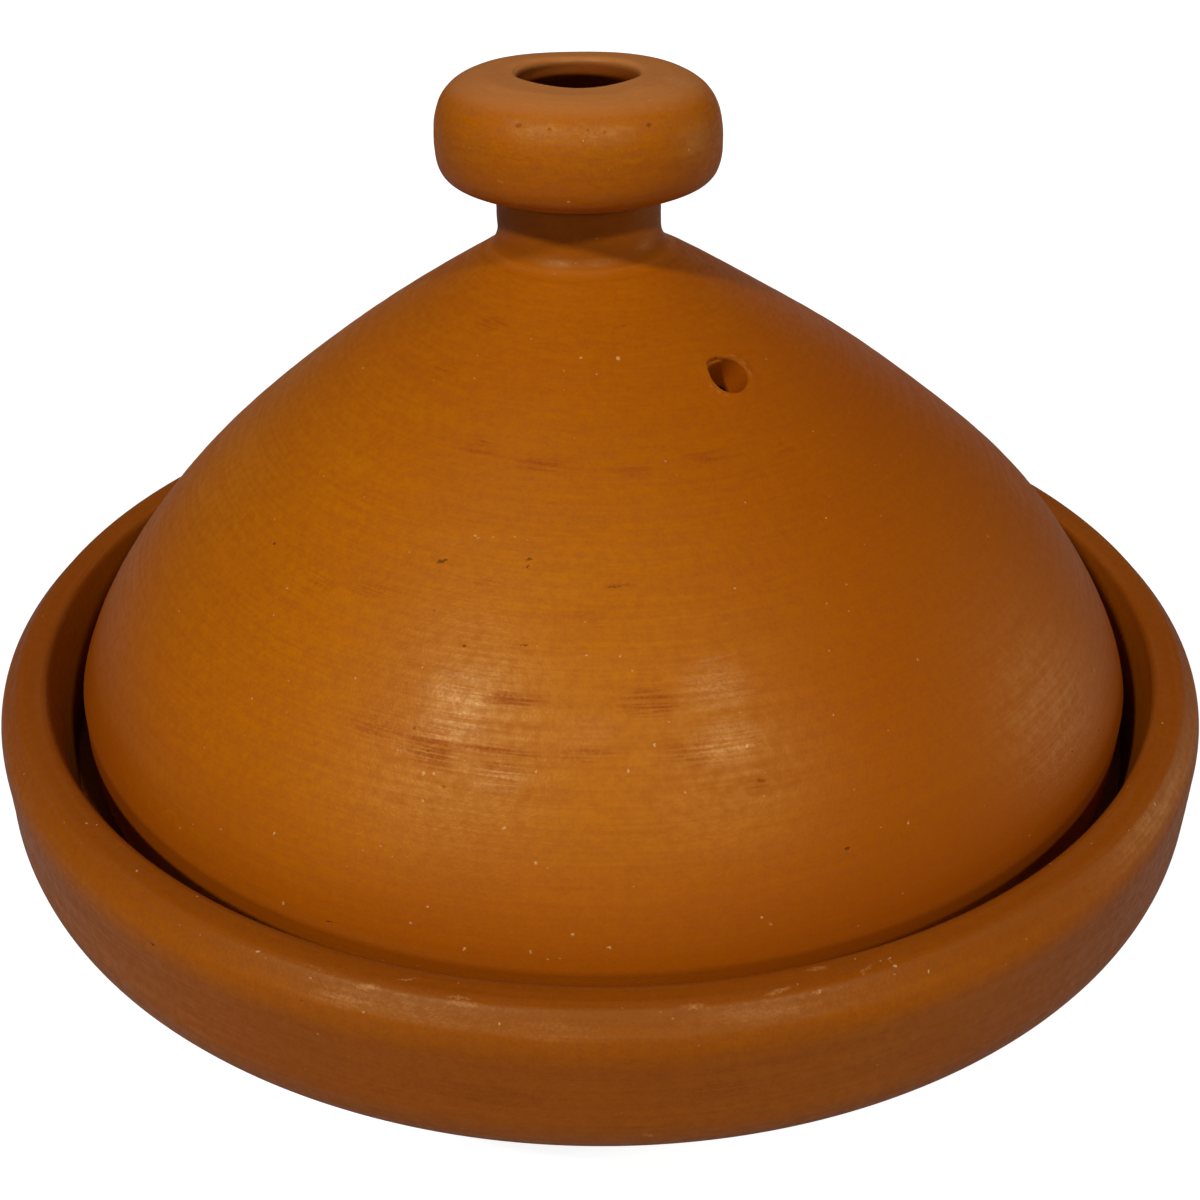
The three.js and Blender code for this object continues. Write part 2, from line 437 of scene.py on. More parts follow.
def lidOutline(look):
    flank = bend(flankGuides(look), 1.15)
    inner = bend(flankGuides(look), 2.5)
    share = np.linspace(0, 1, len(inner))[:, None]
    out = headings(inner, False)[:, ::-1] * (1, -1)
    wall = look["edgeWall"] + (look["coneWall"] - look["edgeWall"]) * share
    inner = (inner - out * wall)[share[:, 0] <= look["roofShare"]][::-1]
    roof = bend([(0, look["roof"]), (inner[0, 0] / 2, look["roof"]), inner[0]], 2.4)
    edge = outline(
        (look["radius"] - look["edgeWall"], look["edge"]),
        (1.4, (look["radius"] - look["tuck"], look["edge"])),
        (0.8, (look["radius"], look["edge"]), (look["radius"], look["waist"])),
        (0.8, (look["radius"], look["ridge"])),
    )
    crown = outline(tuple(flank[-1]), (2.6, (0, look["crown"])))
    return np.concatenate([roof[:-1], inner, edge, flank[1:], crown[1:]])


def lidPush(along, angle, points, place):
    flankStart = np.argmin(np.hypot(points[:, 0] - lidLook["radius"], points[:, 1] - lidLook["waist"]))
    fades, ends = lidLook["ringsMeet"]
    outside = smoothStep(along, along[flankStart] - fades, along[flankStart] - ends)
    slow = lidLook["swell"] * unevenness(along, angle, *lidLook["swellRun"])
    flank = ringSet(along, angle, lidLook["flankRings"])
    within = ringSet(along, angle, lidLook["insideRings"])
    spot, out = steamAxis()
    away = place - np.array(spot)
    depth = away @ np.array(out)
    reach = np.sqrt(np.maximum((away**2).sum(-1) - depth**2, 0))
    ring = reach - steamLook["width"] / 2 - steamLook["lipOut"]
    ring = np.exp(-((ring / steamLook["lipWidth"]) ** 2))
    lip = steamLook["lip"] * ring * (np.abs(depth) < steamLook["top"])
    return slow + (flank * outside + within * (1 - outside)) + lip * outside


def lidContact(points):
    onEdge = points[:, 1] < lidLook["edge"] + nearby
    onCrown = points[:, 1] > lidLook["crown"] - nearby
    return onEdge | onCrown


def drillPush(along, angle, points, place):
    deep, waves, twist = steamLook["uneven"]
    uneven = deep * np.cos(waves * angle + along / twist)
    off = np.angle(np.exp(1j * (angle - math.radians(steamLook["chipAt"]))))
    ragged = sum(share * np.cos(count * angle) for count, share in steamLook["chipWaves"])
    chip = steamLook["chip"] * smoothStep(np.abs(off), *steamLook["chipReach"])
    chip = chip * smoothStep(points[:, 1:], *steamLook["chipRise"])
    oval = steamLook["oval"] * np.cos(off) ** 2
    return uneven - oval + chip * (1 + steamLook["chipRagged"] * ragged)


def steamDrill():
    half, top = steamLook["width"] / 2, steamLook["top"]
    narrow, wide = half - steamLook["taper"], half + steamLook["flare"]
    end, widens, full, edge = steamLook["depths"]
    turnFrom, turnOut, turnTo = steamLook["edgeTurn"]
    shape = outline(
        (0, end),
        (2, (narrow, end)),
        (2, (narrow, widens)),
        (0.4, (half, full)),
        (0.1, (half, edge)),
        (0.2, (half, turnFrom), (half + turnOut, turnTo)),
        (0.4, (wide, steamLook["flareTop"])),
        (2, (wide, top)),
        (2, (0, top)),
    )
    drill = turnPiece("drill", shape, steamLook["turns"], drillPush)
    corners = drill.data.uv_layers["OFBake"].uv
    flat = np.zeros(len(corners) * 2, np.float32)
    corners.foreach_get("vector", flat)
    flat = flat.reshape(-1, 2) * (1, wheelLook["drillShare"]) + (0, wheelLook["drillStart"])
    corners.foreach_set("vector", flat.astype(np.float32).ravel())
    depth = np.zeros(len(drill.data.vertices) * 3, np.float32)
    drill.data.vertices.foreach_get("co", depth)
    depth = depth[2::3] / mm
    # the hole's wall gets wear at its mouth and painted shade deeper in
    for label, fade in (("edgeWear", steamLook["wornFrom"]), ("hollow", steamLook["shadeFrom"])):
        values = smoothStep(depth, *fade).astype(np.float32)
        drill.data.attributes[label].data.foreach_set("value", values)
    spot, out = steamAxis()
    drill.data.transform(Matrix.Translation(spot * mm) @ out.to_track_quat("Z", "Y").to_matrix().to_4x4())
    return drill


def carve(piece, cutter):
    cut = piece.modifiers.new("carve", "BOOLEAN")
    cut.operation = "DIFFERENCE"
    cut.solver = "MANIFOLD"
    cut.object = cutter
    bpy.context.view_layer.update()
    carved = bpy.data.meshes.new_from_object(piece.evaluated_get(bpy.context.evaluated_depsgraph_get()))
    piece.modifiers.remove(cut)
    carved.name = piece.data.name
    piece.data = carved
    bpy.data.objects.remove(cutter)


cone = turnPiece(
    "thrownLid",
    lidOutline(lidLook),
    lidLook["turns"],
    lidPush,
    sideways=axisAt,
    touching=lidContact,
)
carve(cone, steamDrill())
smoothFinish(cone)
standFor(cone, "lid_cone", "lid")
print("lid turned and pierced:", len(cone.data.polygons), "faces")


# knob: neck, rounded grip, lip and well
knobLook = {
    "turns": 260,
    "foot": 167.5,
    "footRadius": 22.5,
    "neck": 18.5,
    "flare": (2.3, 6.0),  # hollow flare at the neck's foot: its corner and its top
    "crease": 183.2,
    "underPull": (29.84, 1.584),  # how the grip curves out from the crease: radius, rise
    "radius": 32.0,
    "belly": 193.1,
    "overPull": (203.46, 27.58),  # how it curves in to the lip: height, radius
    "top": 207.1,
    "lip": 15.2,
    "lipRound": 1.9,
    "lipDepth": 3.4,
    "hollow": 21.5,  # widest part of the well, under the lip
    "hollowPull": (2.4, 3.1),  # how far down the lip's underside curves out to it
    "throat": 12.7,
    "well": 11.6,
    "paintedShade": 1.0,  # painted shade: how much darker the well is painted below its lip
    "paintedShadeDepth": 2.2,
    "swell": 0.16,
    "swellRun": (60, 41),
    "gripRings": {"depth": 0.020, "rings": [(4.6, 43, 1.0), (2.2, 45, 0.5)]},
    "wellRings": {"depth": 0.10, "rings": [(2.6, 47, 1.0)]},
    "wellFrom": 1.0,  # how far past the lip they begin
    "topFrom": 5.0,  # height above the belly where the top begins
    "topRing": (20.6, 1.3, 0.13),  # a ridge round the well: its radius, half width and height
    "dents": [  # pixel across, pixel down, half width, half height, depth
        (519, 125, 1.3, 0.7, 0.24),
        (549, 129, 0.8, 0.7, 0.16),
        (588, 131, 1.0, 0.6, 0.16),
        (604, 132, 0.8, 0.5, 0.14),
        (650, 124, 1.3, 0.6, 0.24),
        (585, 89, 16.0, 6.0, 0.45),
    ],
}


def knobOutline(look):
    neck, radius, crease, belly = look["neck"], look["radius"], look["crease"], look["belly"]
    foot, well, top, edge = look["foot"], look["well"], look["top"], look["lipRound"]
    corner, flare = look["flare"]
    underOut, underUp = look["underPull"]
    overUp, overIn = look["overPull"]
    lip, mouth = look["lip"], look["lip"] - edge
    hollow, under = look["hollow"], top - look["lipDepth"]
    drop, spread = look["hollowPull"]
    return outline(
        (well, foot),
        (1.2, (look["footRadius"], foot)),
        (0.5, (neck, foot + corner), (neck, foot + flare)),
        (0.7, (neck, crease)),
        (0.6, (underOut, crease), (radius, crease + underUp), (radius, belly)),
        (0.6, (radius, overUp), (overIn, top), (lip, top)),
        (0.2, (mouth, top), (mouth, top - edge)),
        (0.4, (mouth, under)),
        (0.6, (mouth, under - drop), (hollow, under - spread), (hollow, belly)),
        (1.2, (hollow, crease), (look["throat"], crease)),
        (1.6, (well, foot)),
    )[:-1]


def lipOf(points):  # number of the last point on top, where the well begins
    return np.flatnonzero(points[:, 1] > knobLook["top"] - 0.01)[-1]


# painted shade inside the knob's well, darker with depth below the lip
def knobShade(points):
    inside = np.arange(len(points)) > lipOf(points)
    deep = smoothStep(knobLook["top"] - points[:, 1], 0, knobLook["paintedShadeDepth"])
    return knobLook["paintedShade"] * inside * deep


def knobPush(along, angle, points, place):
    spots = [(seenAt(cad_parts["lid_knob"], x, y), *size) for x, y, *size in knobLook["dents"]]
    slow = knobLook["swell"] * unevenness(along, angle, *knobLook["swellRun"])
    grip = ringSet(along, angle, knobLook["gripRings"])
    inWell = along > along[lipOf(points)] + knobLook["wellFrom"]
    within = inWell * ringSet(along, angle, knobLook["wellRings"])
    at, wide, high = knobLook["topRing"]
    onTop = points[:, 1:] > knobLook["belly"] + knobLook["topFrom"]
    ring = high * np.exp(-(((points[:, :1] - at) / wide) ** 2)) * onTop
    return slow + grip + within + ring - dentAt(place, spots)


def knobContact(points):
    return points[:, 1] < knobLook["foot"] + nearby


knob = turnPiece(
    "thrownKnob",
    knobOutline(knobLook),
    knobLook["turns"],
    knobPush,
    sideways=axisAt,
    closed=True,
    touching=knobContact,
    shade=knobShade,
)
smoothFinish(knob)
standFor(knob, "lid_knob", "lid")
print("knob turned:", len(knob.data.polygons), "faces")


# shader wiring
def newGroup(name, inputs, output, kind="NodeSocketFloat"):
    tree = bpy.data.node_groups.new(name, "ShaderNodeTree")
    for label, value in inputs.items():
        sort = "NodeSocketVector" if isinstance(value, tuple) else "NodeSocketFloat"
        tree.interface.new_socket(label, in_out="INPUT", socket_type=sort).default_value = value
    tree.interface.new_socket(output, in_out="OUTPUT", socket_type=kind)
    return tree, tree.nodes.new("NodeGroupInput").outputs, tree.nodes.new("NodeGroupOutput").inputs


def newFinish(name):  # a material, its nodes and what its surface takes in
    material = bpy.data.materials.new(name)
    material.use_nodes = True
    return material, material.node_tree, material.node_tree.nodes["Principled BSDF"].inputs


def feed(tree, socket, value):
    if isinstance(value, bpy.types.NodeSocket):
        tree.links.new(value, socket)
    else:
        socket.default_value = value


def feedAll(tree, node, values):
    for socket, value in zip(node.inputs, values):
        feed(tree, socket, value)


def calc(tree, operation, *values, clamp=False):
    made = tree.nodes.new("ShaderNodeMath")
    made.operation = operation
    made.use_clamp = clamp
    feedAll(tree, made, values)
    return made.outputs[0]


def vectorCalc(tree, operation, *values, out="Vector"):
    made = tree.nodes.new("ShaderNodeVectorMath")
    made.operation = operation
    feedAll(tree, made, values)
    return made.outputs[out]


def scaled(tree, vector, share):
    made = tree.nodes.new("ShaderNodeVectorMath")
    made.operation = "SCALE"
    feed(tree, made.inputs[0], vector)
    feed(tree, made.inputs["Scale"], share)
    return made.outputs["Vector"]


def ranged(tree, value, low, high, toLow=0.0, toHigh=1.0, smooth=True):
    made = tree.nodes.new("ShaderNodeMapRange")
    made.interpolation_type = "SMOOTHSTEP" if smooth else "LINEAR"
    feedAll(tree, made, (value, low, high, toLow, toHigh))
    return made.outputs[0]


def mixed(tree, share, first, second):
    made = tree.nodes.new("ShaderNodeMix")
    made.data_type = "RGBA"
    feed(tree, made.inputs[0], share)
    feed(tree, made.inputs[6], first)  # the node's colour sockets
    feed(tree, made.inputs[7], second)
    return made.outputs[2]


def placed(tree, group, **values):
    made = tree.nodes.new("ShaderNodeGroup")
    made.node_tree = group
    for label, value in values.items():
        feed(tree, made.inputs[label], value)
    return made


def joined(tree, x, y, z):
    made = tree.nodes.new("ShaderNodeCombineXYZ")
    feedAll(tree, made, (x, y, z))
    return made.outputs[0]


def noiseAt(tree, place, scale, detail):
    made = tree.nodes.new("ShaderNodeTexNoise")
    feed(tree, made.inputs["Vector"], place)
    feed(tree, made.inputs["Scale"], scale)
    feed(tree, made.inputs["Detail"], detail)
    return made


def objectPlace(tree):
    return tree.nodes.new("ShaderNodeTexCoord").outputs["Object"]


def placeParts(tree):
    made = tree.nodes.new("ShaderNodeSeparateXYZ")
    feed(tree, made.inputs[0], objectPlace(tree))
    return made.outputs


def makeWheelStreaks():  # marks left around a turned piece by fingers, rib and polishing stone
    tree, given, made = newGroup(
        "wheelStreaks",
        {"stretch": 3.0, "fineness": 600.0, "detail": 3.0, "low": 0.35, "high": 0.65},
        "mask",
    )
    x, y, z = placeParts(tree)
    level = joined(tree, x, y, 0.0)
    radius = vectorCalc(tree, "LENGTH", level, out="Value")
    around = scaled(tree, vectorCalc(tree, "NORMALIZE", level), given["stretch"])
    rise = joined(tree, 0.0, 0.0, calc(tree, "MULTIPLY", z, given["fineness"]))
    noise = noiseAt(tree, vectorCalc(tree, "ADD", around, rise), 1.0, given["detail"])
    noise.noise_dimensions = "4D"
    feed(tree, noise.inputs["W"], calc(tree, "MULTIPLY", radius, given["fineness"]))
    feed(tree, made["mask"], ranged(tree, noise.outputs[0], given["low"], given["high"]))
    return tree


def makeClaySpecks():  # scattered grains: lime, grit or pits
    tree, given, made = newGroup(
        "claySpecks",
        {"spacing": 160.0, "flatten": 1.6, "share": 0.3, "size": 0.1, "offset": 0.0},
        "mask",
    )
    x, y, z = placeParts(tree)
    shifted = calc(tree, "ADD", x, given["offset"])
    flat = joined(tree, shifted, y, calc(tree, "MULTIPLY", z, given["flatten"]))
    cells = tree.nodes.new("ShaderNodeTexVoronoi")
    feed(tree, cells.inputs["Vector"], flat)
    feed(tree, cells.inputs["Scale"], given["spacing"])
    chance = tree.nodes.new("ShaderNodeSeparateColor")
    feed(tree, chance.inputs[0], cells.outputs["Color"])
    kept = calc(tree, "SUBTRACT", given["share"], chance.outputs[0])
    kept = calc(tree, "DIVIDE", kept, given["share"], clamp=True)
    grain = calc(tree, "MULTIPLY", calc(tree, "POWER", kept, 0.7), given["size"])
    inside = calc(tree, "SUBTRACT", grain, cells.outputs["Distance"])
    soft = calc(tree, "MULTIPLY_ADD", grain, 0.45, 0.0001)  # width of the grain's soft edge
    feed(tree, made["mask"], calc(tree, "DIVIDE", inside, soft, clamp=True))
    return tree


def makeClayClouds():  # broad patches of warmer and paler clay from the kiln
    tree, given, made = newGroup("clayClouds", {"scale": 14.0, "low": 0.35, "high": 0.65}, "mask")
    noise = noiseAt(tree, objectPlace(tree), given["scale"], 3.0)
    feed(tree, made["mask"], ranged(tree, noise.outputs[0], given["low"], given["high"]))
    return tree


def makeRaggedPlace():  # a place on the piece, shaken a little so that marks get uneven outlines
    tree, given, made = newGroup(
        "raggedPlace",
        {"scale": 900.0, "reach": 0.0005},
        "place",
        kind="NodeSocketVector",
    )
    place = objectPlace(tree)
    noise = noiseAt(tree, place, given["scale"], 2.0)
    shake = vectorCalc(tree, "SUBTRACT", noise.outputs["Color"], (0.5, 0.5, 0.5))
    shake = scaled(tree, shake, given["reach"])
    feed(tree, made["place"], vectorCalc(tree, "ADD", place, shake))
    return tree


def makeClayGrain():  # one grain at a known place, laid over the marks under it
    tree, given, made = newGroup(
        "clayGrain",
        {"under": 0.0, "where": (0, 0, 0), "place": (0, 0, 0), "size": 0.0005},
        "mask",
    )
    reach = vectorCalc(tree, "DISTANCE", given["where"], given["place"], out="Value")
    grain = ranged(tree, calc(tree, "DIVIDE", reach, given["size"]), 1.0, 0.45)
    feed(tree, made["mask"], calc(tree, "MAXIMUM", grain, given["under"]))
    return tree


def makeClayStroke():  # one stroke, scratch, rub or painted highlight between two known places, laid over the marks under it
    tree, given, made = newGroup(
        "clayStroke",
        {
            "under": 0.0,
            "where": (0, 0, 0),
            "place": (0, 0, 0),
            "side": (1, 0, 0),
            "squeeze": 0.5,  # 1 less the share of its width in its length
            "outer": 0.001,
            "inner": 0.0004,
            "level": 1.0,
        },
        "mask",
    )
    away = vectorCalc(tree, "SUBTRACT", given["where"], given["place"])
    along = vectorCalc(tree, "DOT_PRODUCT", away, given["side"], out="Value")
    along = calc(tree, "MULTIPLY", along, given["squeeze"])
    across = vectorCalc(tree, "SUBTRACT", away, scaled(tree, given["side"], along))
    reach = vectorCalc(tree, "LENGTH", across, out="Value")
    stroke = ranged(tree, reach, given["outer"], given["inner"], 0.0, given["level"])
    feed(tree, made["mask"], calc(tree, "MAXIMUM", stroke, given["under"]))
    return tree


wheelStreaks = makeWheelStreaks()
claySpecks = makeClaySpecks()
clayClouds = makeClayClouds()
raggedPlace = makeRaggedPlace()
clayGrain = makeClayGrain()
clayStroke = makeClayStroke()
print("finish groups made")


# fired clay, one finish for each piece from the same groups, with some painted shade and highlight
markLook = {  # how the groups are set, the same for all three pieces
    "ragged": {"scale": 1300.0, "reach": 0.0012},
    "torn": {"scale": 260.0, "reach": 0.0022},
    "clouds": {"low": 0.34, "high": 0.68},
    "mottle": {"scale": 480.0, "low": 0.30, "high": 0.70},
    "grit": {"scale": 1500.0, "low": 0.30, "high": 0.70},
    "bands": {"stretch": 1.6, "fineness": 95.0, "detail": 2.0, "low": 0.36, "high": 0.64},
    "lines": {"stretch": 4.5, "fineness": 1150.0, "detail": 3.0, "low": 0.34, "high": 0.68},
    "rubs": {"stretch": 7.0, "fineness": 1800.0, "detail": 3.0, "low": 0.42, "high": 0.58},
    "lime": {"spacing": 150.0, "size": 0.070},
    "dust": {"spacing": 430.0, "size": 0.15, "offset": 0.31},
    "pits": {"spacing": 110.0, "flatten": 2.4, "size": 0.08, "offset": 0.57},
    "grainSize": 0.8,  # share of a grain's written size that shows
    "core": {"polished": 0.1, "brushed": 0.2, "scratched": 0.2, "pits": 0.35},  # full share of a stroke
    "rubsIn": {"polished": (0.75, 0.25), "brushed": (-0.85, 1.0)},  # gain and base of what breaks it up
    "gritIn": {"polished": (1.1, 0.45), "brushed": (-0.6, 1.2), "scratched": (0.8, 0.3)},
    "tint": {"pits": 0.75, "dust": 0.30, "lime": 0.55},
    "rough": {"lines": 0.09, "mottle": 0.09, "brushed": 0.14, "polished": -0.06, "pits": 0.2},
    "relief": {"lines": 0.25, "grit": 0.55, "pits": -6.0},
}


def grainMask(tree, piece, where, grains):  # each grain: pixel across, pixel down, half size in millimetres
    mask = 0.0
    for x, y, size in grains:
        shown = size * markLook["grainSize"] * mm
        grain = placed(tree, clayGrain, under=mask, where=where, place=seenAt(piece, x, y), size=shown)
        mask = grain.outputs["mask"]
    return mask


def strokeMask(tree, piece, where, strokes, core):  # each stroke: pixels of its ends, half width, level
    mask = 0.0
    for startX, startY, endX, endY, wide, level in strokes:
        start, end = seenAt(piece, startX, startY), seenAt(piece, endX, endY)
        reach = max((end - start).length / 2, wide * mm)
        stroke = placed(
            tree,
            clayStroke,
            under=mask,
            where=where,
            place=(start + end) / 2,
            side=(end - start).normalized(),
            squeeze=1 - wide * mm / reach,
            outer=wide * mm,
            inner=wide * mm * core,
            level=level,
        )
        mask = stroke.outputs["mask"]
    return mask


def attribute(tree, name):
    made = tree.nodes.new("ShaderNodeAttribute")
    made.attribute_name = name
    return made.outputs["Fac"]


def clayFinish(piece, look):
    material, tree, surface = newFinish(look["name"])
    feed(tree, surface["Specular IOR Level"], look["shine"])
    feed(tree, surface["Specular Tint"], look["shineTint"])
    core, tint = markLook["core"], markLook["tint"]
    rubsIn, gritIn = markLook["rubsIn"], markLook["gritIn"]

    def tinted(colour, mask, share, other):
        return mixed(tree, calc(tree, "MULTIPLY", mask, share), colour, other)

    def masked(group, kind, **values):
        return placed(tree, group, **markLook[kind], **values).outputs["mask"]

    def textured(mask, other, gain, base, clamp=False):  # breaks a mask up with a finer one
        return calc(tree, "MULTIPLY", mask, calc(tree, "MULTIPLY_ADD", other, gain, base), clamp=clamp)

    ragged = placed(tree, raggedPlace, **markLook["ragged"]).outputs["place"]
    torn = placed(tree, raggedPlace, **markLook["torn"]).outputs["place"]
    clouds = masked(clayClouds, "clouds", scale=look["cloudScale"])
    mottle = masked(clayClouds, "mottle")
    grit = masked(clayClouds, "grit")
    bands = masked(wheelStreaks, "bands")
    lines = masked(wheelStreaks, "lines")
    rubs = masked(wheelStreaks, "rubs")
    lime = masked(claySpecks, "lime", share=look["lime"])
    dust = masked(claySpecks, "dust", share=look["dust"])
    pits = masked(claySpecks, "pits", share=look["pits"])
    wear = attribute(tree, "edgeWear")
    hollow = attribute(tree, "hollow")

    # painted highlight: pale strokes where the lamps' highlights and the rim's sheen fall, partly real
    # polish
    polished = strokeMask(tree, piece, torn, look["polishAndHighlightAt"], core["polished"])
    polished = textured(polished, rubs, *rubsIn["polished"])
    polished = textured(polished, grit, *gritIn["polished"])
    brushed = strokeMask(tree, piece, torn, look["brushedAt"], core["brushed"])
    brushed = textured(brushed, rubs, *rubsIn["brushed"])
    brushed = textured(brushed, grit, *gritIn["brushed"], clamp=True)
    scratched = strokeMask(tree, piece, ragged, look["scratchAndGlintAt"], core["scratched"])
    scratched = textured(scratched, grit, *gritIn["scratched"])
    pits = calc(tree, "MAXIMUM", pits, strokeMask(tree, piece, ragged, look["pitAt"], core["pits"]))
    lime = calc(tree, "MAXIMUM", lime, grainMask(tree, piece, ragged, look["limeAt"]))

    colour = mixed(tree, clouds, look["deep"], look["pale"])
    colour = tinted(colour, bands, look["bands"], look["warm"])
    colour = tinted(colour, lines, look["lines"], look["dark"])
    colour = tinted(colour, mottle, look["mottle"], look["dark"])
    colour = tinted(colour, grit, look["grit"], look["dusty"])
    for way, fromNone, full, share, other in look["directedTints"]:
        reach = vectorCalc(tree, "DOT_PRODUCT", objectPlace(tree), way, out="Value")
        colour = tinted(colour, ranged(tree, reach, fromNone, full), share, look[other])
    colour = tinted(colour, brushed, look["brush"], look["dark"])
    colour = tinted(colour, polished, look["polishAndHighlightShare"], look["rubbedAndSheen"])
    colour = tinted(colour, calc(tree, "MULTIPLY", wear, lines), look["wear"], look["rubbedAndSheen"])
    # painted shade in creases and hollows, in the knob's well and in the steam hole
    colour = tinted(colour, hollow, look["hollow"], look["shadow"])
    colour = tinted(colour, scratched, look["scratchAndGlintShare"], look["rubbedAndSheen"])
    colour = tinted(colour, pits, tint["pits"], look["pit"])
    colour = tinted(colour, dust, tint["dust"], look["limeColour"])
    colour = tinted(colour, lime, tint["lime"], look["limeColour"])
    feed(tree, surface["Base Color"], colour)

    masks = {"lines": lines, "mottle": mottle, "grit": grit}
    masks.update(brushed=brushed, polished=polished, pits=pits)
    rough = look["rough"]
    for kind, gain in markLook["rough"].items():
        rough = calc(tree, "MULTIPLY_ADD", masks[kind], gain, rough, clamp=kind == "pits")
    feed(tree, surface["Roughness"], rough)

    relief = 0.0
    for kind, gain in markLook["relief"].items():
        relief = calc(tree, "MULTIPLY_ADD", masks[kind], gain, relief)
    bump = tree.nodes.new("ShaderNodeBump")
    feed(tree, bump.inputs["Distance"], look["relief"] * mm)
    feed(tree, bump.inputs["Height"], relief)
    feed(tree, surface["Normal"], bump.outputs[0])
    piece.data.materials.clear()
    piece.data.materials.append(material)


